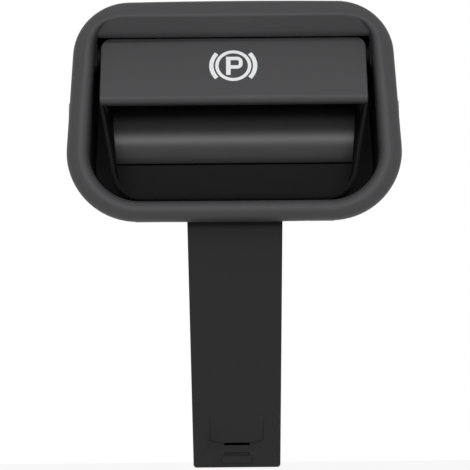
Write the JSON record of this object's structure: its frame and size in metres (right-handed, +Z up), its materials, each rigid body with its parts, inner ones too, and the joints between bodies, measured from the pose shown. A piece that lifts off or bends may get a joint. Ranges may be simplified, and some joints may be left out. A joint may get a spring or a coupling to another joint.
{
  "type": "electric parking brake switch",
  "caption": "Dashboard parking brake switch: a hooded pull and push lever in a recessed bezel, with a fixing tongue below and a plug socket behind.",
  "frame": {"origin": "centre of the opening in the fascia, on the plane where the back of the bezel rests", "axes": "+X to the right seen from the front, +Y into the fascia, +Z up along the fixing tongue's length"},
  "size_m": [0.067, 0.0454, 0.0937],
  "materials": {
    "satin_paint": "satin",
    "black_plastic": "fine grain",
    "white_plastic": "smooth",
    "clear_plastic": "clear moulded",
    "rubber_black": "matte",
    "steel": "ground",
    "spring_steel": "bright",
    "copper_alloy": "tinned strip",
    "board_green": "solder mask",
    "component_dark": "moulded"
  },
  "bodies": {
    "carrier": {"bezel": "satin_paint", "carrier": "black_plastic", "housing_light_pipe": "clear_plastic", "pivot_pin": "steel", "pivot_bush_left": "black_plastic", "pivot_bush_right": "black_plastic", "push_stop_buffers": "rubber_black", "switch_housing": "black_plastic", "rear_cover": "black_plastic", "circuit_board": "board_green", "symbol_led": "white_plastic", "board_components": "component_dark", "terminal_pins": "copper_alloy", "housing_screws": "steel", "panel_clip_left": "spring_steel", "panel_clip_right": "spring_steel", "return_spring_left": "spring_steel", "return_spring_right": "spring_steel"},
    "lever": {"lever_cap": "satin_paint", "lever_body": "black_plastic", "lever_light_guide": "clear_plastic"},
    "slider_left": {"slider_left": "white_plastic", "contact_bridge_left": "copper_alloy"},
    "slider_right": {"slider_right": "white_plastic", "contact_bridge_right": "copper_alloy"}
  },
  "joints": [
    {"name": "lever_pivot", "type": "hinge", "parent": "carrier", "child": "lever", "pos_m": [0, 0.003, 0.0126], "axis": [1, 0, 0], "range_deg": [-12, 7], "stiffness_Nm_per_rad": 0.35},
    {"name": "slider_left_slide", "type": "slide", "parent": "carrier", "child": "slider_left", "axis": [0, 0, 1], "range_m": [-0.0036, 0.0021], "deforming": ["return_spring_left"]},
    {"name": "slider_right_slide", "type": "slide", "parent": "carrier", "child": "slider_right", "axis": [0, 0, 1], "range_m": [-0.0036, 0.0021], "deforming": ["return_spring_right"]}
  ],
  "couplings": [
    {"joint": "slider_left_slide", "follows": "lever_pivot", "m_per_rad": 0.017},
    {"joint": "slider_right_slide", "follows": "lever_pivot", "m_per_rad": 0.017}
  ]
}
